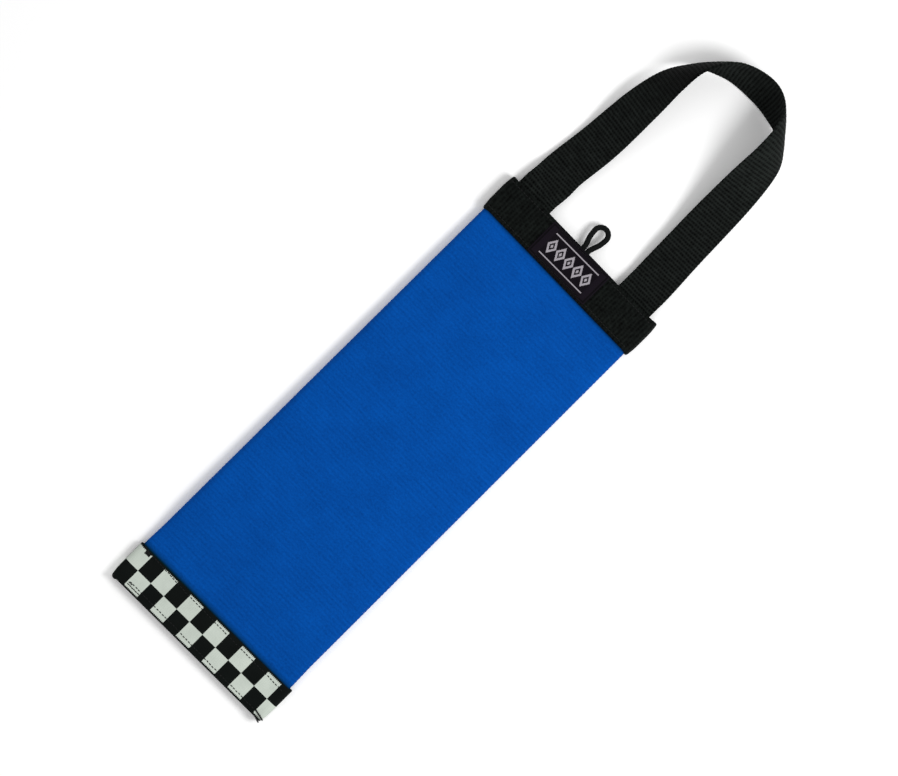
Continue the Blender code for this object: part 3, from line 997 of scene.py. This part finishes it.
def braid_height(turn, far):
    """How far the braid stands out, 0 to 1. A strand under another stands half as high."""
    one, other = turn * STRANDS + far / STRAND_LENGTH, turn * STRANDS - far / STRAND_LENGTH
    over = math.copysign(1, math.sin(math.pi * one) * math.sin(math.pi * other))
    rise = (abs(math.sin(math.pi * (one + 0.5))), abs(math.sin(math.pi * (other + 0.5))))
    return max(rise[0] * (0.75 + 0.25 * over), rise[1] * (0.75 - 0.25 * over))


cord_points = cord_line()
cord_reach = distances(cord_points)
rings = []
for i, (point, far) in enumerate(zip(cord_points, cord_reach)):
    ahead = cord_points[min(i + 1, len(cord_points) - 1)] - cord_points[max(i - 1, 0)]
    side = np.array((ahead[1], -ahead[0], 0.0)) / np.linalg.norm(ahead)
    ring = []
    for j in range(CORD_SIDES):
        radius = CORD_DIAMETER / 2 * (1 + BRAID_RELIEF * (braid_height(j / CORD_SIDES, far) - BRAID_MEAN))
        turn = 2 * math.pi * j / CORD_SIDES
        ring.append(tuple(point + radius * (side * math.cos(turn) + np.array((0, 0, math.sin(turn))))))
    rings.append(ring)
cord_around = [math.pi * CORD_DIAMETER * j / CORD_SIDES for j in range(CORD_SIDES + 1)]
cord = skin("cord_braid", rings, cord_reach, cord_around, closed=False)
dress(cord, cord_material, "cord", "cord_loop", "cord_tail_left", "cord_tail_right", body=None)
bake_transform(cord)
print("cord:", round(cord_reach[-1], 4), "long")

# %% [markdown]
# A woven label is cut from a satin tape, its ends turned under, and sewn on all round. The fold makes its
# short sides thicker, and the seam presses a shallow channel just inside its edge.

# %% Label
LABEL_TOP, LABEL_ROUND = 0.00045, 0.00014
CHANNEL_INSET, CHANNEL_WIDTH, CHANNEL_DEPTH = 0.0012, 0.0005, 0.00018
TURNED_LIFT, TURNED_SLOPE, TURNED_PAST = 0.00024, 0.0008, 0.0003
RIB_SHOWING = 0.00003
LABEL_Y = HEAD_BAND_Y + WEBBING_WIDTH / 2
LABEL_CUTS, LABEL_CUTS_ACROSS = np.linspace(-0.475, 0.475, 47), np.linspace(-0.46, 0.46, 24)

label = add_piece("label_patch", bpy.ops.mesh.primitive_cube_add, size=1)
label.scale = (LABEL_WIDTH, LABEL_HEIGHT, LABEL_TOP)
label.location = (LABEL_X, LABEL_Y, HEAD_HIGH.z + LABEL_TOP / 2)
settle(label)
edit(label)
bpy.ops.mesh.select_all(action="SELECT")
bpy.ops.mesh.bevel(offset=LABEL_ROUND, segments=2, affect="EDGES")
cut(LABEL_Y + LABEL_HEIGHT * LABEL_CUTS_ACROSS, (0, 1, 0))
cut(LABEL_WIDTH * LABEL_CUTS, (1, 0, 0))
bpy.ops.object.mode_set(mode="OBJECT")


def pressed(place):
    """Sink a channel along the seam, thicken the turned ends and let the ribs below show through."""
    if place.z < HEAD_HIGH.z + LABEL_TOP * 0.6:
        return place
    from_end = LABEL_WIDTH / 2 - abs(place.x - LABEL_X)
    from_side = LABEL_HEIGHT / 2 - abs(place.y - LABEL_Y)
    edge = min(from_end, from_side)
    channel = math.exp(-((edge - CHANNEL_INSET) / CHANNEL_WIDTH) ** 2) * CHANNEL_DEPTH
    turned = TURNED_LIFT * ease((TURNED_END + TURNED_PAST - from_end) / TURNED_SLOPE)
    ribs = RIB_SHOWING * math.cos(2 * math.pi * place.x / WEBBING_RIB)
    return Vector((place.x, place.y, place.z - channel + turned + ribs))


shape(label, pressed)
lay_cloth(label, lambda place: place.x - LABEL_X, lambda place: place.y - LABEL_Y)
dress(label, label_material, "label", "woven_label")

# %% [markdown]
# Every seam repeats one short stitch: proud of the cloth in its middle, diving into it at both ends. It
# is modelled once from a six-sided rod, an Array makes a straight row of it, and the row is laid along
# its seam stitch by stitch. Hand-guided sewing is never quite even, so a seeded random number nudges and
# turns each stitch.

# %% A row of stitches
STITCH = 0.0018
STITCH_PITCH = 0.00215
THREAD = 0.0006
STITCH_TOP = 0.27  # half the proud part, as a share of the stitch
STITCH_DIVE = 0.7  # as a share of the thread
UNEVENNESS = (0.00009, 0.00008, 0.06)  # along, aside and turned
LOOK_AHEAD = 0.0003  # how far either way gives the seam's heading
random_hand = np.random.default_rng(7)


def stitch_row(name, line, height, pitch=STITCH_PITCH, facing=1, thread=THREAD):
    """Stitches along a line of (x, y), on cloth at height(x, y). facing is -1 underneath."""
    reach = distances(line)
    count = max(round(reach[-1] / pitch), 1)
    row = add_piece(name, bpy.ops.mesh.primitive_cylinder_add, vertices=6, radius=thread / 2,
                    depth=STITCH, rotation=(0, math.pi / 2, 0))
    settle(row)
    edit(row)
    cut([-STITCH * STITCH_TOP, STITCH * STITCH_TOP], (1, 0, 0))
    pick(row, lambda place: abs(place.x) > STITCH * 0.4)
    bpy.ops.transform.translate(value=(0, 0, -thread * STITCH_DIVE))
    bpy.ops.object.mode_set(mode="OBJECT")
    repeat(row, count, pitch)
    nudge = random_hand.normal(0.0, 1.0, (count, 3)) * UNEVENNESS

    def laid(place):
        which = min(max(round(place.x / pitch), 0), count - 1)
        along, aside, turn = nudge[which]
        far = (which + 0.5) * reach[-1] / count + along
        x, y = place_at(far, reach, line)
        ahead = place_at(far + LOOK_AHEAD, reach, line)
        behind = place_at(far - LOOK_AHEAD, reach, line)
        heading = math.atan2(ahead[1] - behind[1], ahead[0] - behind[0]) + turn
        local, beside = place.x - which * pitch, place.y + aside
        x += local * math.cos(heading) - beside * math.sin(heading)
        y += local * math.sin(heading) + beside * math.cos(heading)
        return Vector((x, y, height(x, y) + facing * place.z))

    shape(row, laid)
    return row


def sew(name, rows, slot):
    """Join rows of stitches into one piece."""
    bpy.ops.object.select_all(action="DESELECT")
    for row in rows:
        row.select_set(True)
    bpy.context.view_layer.objects.active = rows[0]
    bpy.ops.object.join()
    rows[0].name = name
    edit(rows[0])
    face_outwards()
    dress(rows[0], thread_material, slot)


def wrapped_height(wrap, side=1):
    """The outside of a wrapped band, over the hose or under it, as a function of place."""
    radius, shoulder = wrap.fold / 2 + GAP + wrap.thickness, (wrap.hose_width - wrap.fold) / 2

    def height(x, y):
        out = max(abs(x) - shoulder, 0.0)
        return wrap.middle + side * math.sqrt(max(radius ** 2 - out ** 2, 0.0))

    return height

# %% [markdown]
# Two rows run along the head band, right through it, so they show on the underside too.

# %% Stitches of the head band
SEAM_INSET = 0.0023
SEAM_REACH = 0.0565


def slanted(y, reach):
    return [(x, y - math.tan(HEAD_SKEW) * x) for x in np.linspace(-reach, reach, 9)]


band_rows = []
for side in (1, -1):
    over = wrapped_height(head_wrap, side)
    for y in (SEWN_LOW + SEAM_INSET, SEWN_LOW + SEWN_WIDTH - SEAM_INSET):
        band_rows.append(stitch_row("row", slanted(y, SEAM_REACH), over, facing=side))
sew("band_stitching", band_rows, "webbing")

# %% [markdown]
# The ribbon's seams are black thread on white squares, so they are the plainest sewing on the object. One
# starts at the inner edge on the left with a lump of back-stitches and wanders inwards. The other starts
# further in.

# %% Stitches of the ribbon
LUMP_ROWS, LUMP_Y, LUMP_PITCH = 5, -0.1376, 0.0005
LUMP_LEFT, LUMP_RIGHT, LUMP_SLANT = -0.0542, -0.0509, 0.0001
OUTER_START = -0.0488
BACK_STITCHES = ((-0.1578, -0.0462), (-0.1590, -0.0395))  # their y, and the x where they end

over_ribbon, under_ribbon = wrapped_height(tail_wrap), wrapped_height(tail_wrap, -1)
inner_seam = [(-0.0568, -0.1369), (-0.0500, -0.1377), (-0.0200, -0.1391), (0.0577, -0.1396)]
outer_seam = [(OUTER_START, -0.1573), (-0.0100, -0.1575), (0.0200, -0.1583), (0.0597, -0.1583)]
ribbon_rows = []
for seam in (inner_seam, outer_seam):
    ribbon_rows.append(stitch_row("row", seam, over_ribbon))
    ribbon_rows.append(stitch_row("row", seam, under_ribbon, facing=-1))
for y in [LUMP_Y - LUMP_PITCH * step for step in range(LUMP_ROWS)]:
    lump = [(LUMP_LEFT, y), (LUMP_RIGHT, y - LUMP_SLANT)]
    ribbon_rows.append(stitch_row("row", lump, over_ribbon, pitch=0.0012))
for y, end in BACK_STITCHES:
    ribbon_rows.append(stitch_row("row", [(OUTER_START, y), (end, y)], over_ribbon, pitch=0.0016))
sew("ribbon_stitching", ribbon_rows, "webbing")

# %% [markdown]
# The label's seam lies in the channel that it presses.

# %% Stitches of the label
LABEL_SEAM_SUNK = 0.00005
inset_x, inset_y = LABEL_WIDTH / 2 - CHANNEL_INSET, LABEL_HEIGHT / 2 - CHANNEL_INSET
corners = ((-1, -1), (1, -1), (1, 1), (-1, 1), (-1, -1))
label_line = [(LABEL_X + inset_x * x, LABEL_Y + inset_y * y) for x, y in corners]
seam_height = HEAD_HIGH.z + LABEL_TOP - LABEL_SEAM_SUNK
label_row = stitch_row("row", label_line, lambda x, y: seam_height, pitch=0.0019, thread=0.00034)
sew("label_stitching", [label_row], "label")

# %% [markdown]
# Two thread ends were left long where the seams stop at the ribbon's right side, and a knot was trimmed
# short at its left corner. Each is a thin curve given thickness and made a mesh, lying on the ribbon and
# over its fold.

# %% Thread ends
LOOSE_THREAD, KNOT_THREAD = 0.0009, 0.0008  # a frayed end is thicker than the thread
CURL_POINTS, CURL_STEP, CURL_SHRINK = 12, 1.2, 14
CURL_FLATNESS, CURL_LIFT = 0.4, 0.0001


def thread_end(name, points, thickness):
    """A short loose end of thread along a smooth line of points."""
    line = smooth_line([np.array(point) for point in points], 8)
    end = curve_along(name, [(place, 0.0) for place in line])
    end.data.bevel_depth = thickness / 2
    end.data.bevel_resolution = 1
    end.data.use_fill_caps = True
    choose(end)
    bpy.ops.object.convert(target="MESH")
    return bpy.context.object


def curl(x, y, z, size):
    """A tight flat curl of thread, which is what a trimmed knot looks like."""
    return [(x + size * (1 - i / CURL_SHRINK) * math.cos(i * CURL_STEP),
             y + size * CURL_FLATNESS * math.sin(i * CURL_STEP), z + CURL_LIFT * (i % 3))
            for i in range(CURL_POINTS)]


ends = [
    thread_end("end", [(0.0543, -0.1579, 0.0073), (0.0573, -0.1586, 0.0075), (0.0592, -0.1590, 0.0073),
                       (0.0613, -0.1597, 0.0058)], LOOSE_THREAD),
    thread_end("end", [(0.0549, -0.1607, 0.0073), (0.0573, -0.1610, 0.0074), (0.0592, -0.1618, 0.0064),
                       (0.0604, -0.1623, 0.0050)], LOOSE_THREAD),
    thread_end("end", curl(-0.0566, -0.1617, 0.0060, 0.0019), KNOT_THREAD)]
sew("thread_ends", ends, "webbing")

# %% [markdown]
# A product on white needs very little light: one soft lamp and a bright room. The lamp is a disc that
# hangs near, to the right of the handle, so the shadows fan out from there, to the left. Lamp and room
# together light the middle of the bumper so that a colour looks as it is written.

# %% Light
LAMP = Vector((0.50, 0.30, 0.70))
LAMP_SIZE = 0.35
LAMP_SHARE = 0.38
LIT_PLACE = Vector((0, 0.05, 0))

way = LAMP - LIT_PLACE
bpy.ops.object.select_all(action="DESELECT")
bpy.ops.object.light_add(type="AREA", location=LAMP, rotation=way.to_track_quat("Z", "Y").to_euler())
lamp = bpy.context.object
lamp.data.shape = "DISK"
lamp.data.size = LAMP_SIZE
lamp.data.energy = math.pi ** 2 * LAMP_SHARE * way.length ** 3 / LAMP.z
print("lamp:", round(lamp.data.energy, 2), "W at", round(way.length, 2), "m")

# %% [markdown]
# The room is a plain world colour. The camera and glossy things see it as pure white, by Light Path,
# which keeps the background white without more light on the object. The table touches the lowest
# stitches.

# %% Room and table
ROOM_SHARE = 0.65
TABLE_LIT, TABLE_WHITE = 0.8, 1.19


def by_sight(nodes, plain, white):
    """A value that is plain for light itself, and white for the camera and for glossy or clear things."""
    seen = 0.0
    for ray in ("Is Camera Ray", "Is Glossy Ray", "Is Transmission Ray"):
        seen = nodes.maths("MAXIMUM", seen, nodes.node("ShaderNodeLightPath", {}, {}, output=ray))
    return nodes.node("ShaderNodeMapRange", {}, {"Value": seen, "To Min": plain, "To Max": white})


room = bpy.data.worlds.new("room")
room.use_nodes = True
bpy.context.scene.world = room
background = room.node_tree.nodes["Background"].inputs
background["Color"].default_value = (1, 1, 1, 1)
air = Nodes(room.node_tree)
air.feed(background["Strength"], by_sight(air, ROOM_SHARE, 1.0))

table = add_piece("table", bpy.ops.mesh.primitive_plane_add, size=12, location=(0, 0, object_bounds()[0].z))
paper = Finish("white_paper", Roughness=0.9, Specular_IOR_Level=0.0)
paper.feed(paper.shader.inputs["Base Color"], by_sight(paper, TABLE_LIT, TABLE_WHITE))
table.data.materials.append(paper.material)
print("table at z =", round(table.location.z, 5))

# %% [markdown]
# The Standard view shows a colour as it is written.

# %% Colour management
bpy.context.scene.view_settings.view_transform = "Standard"
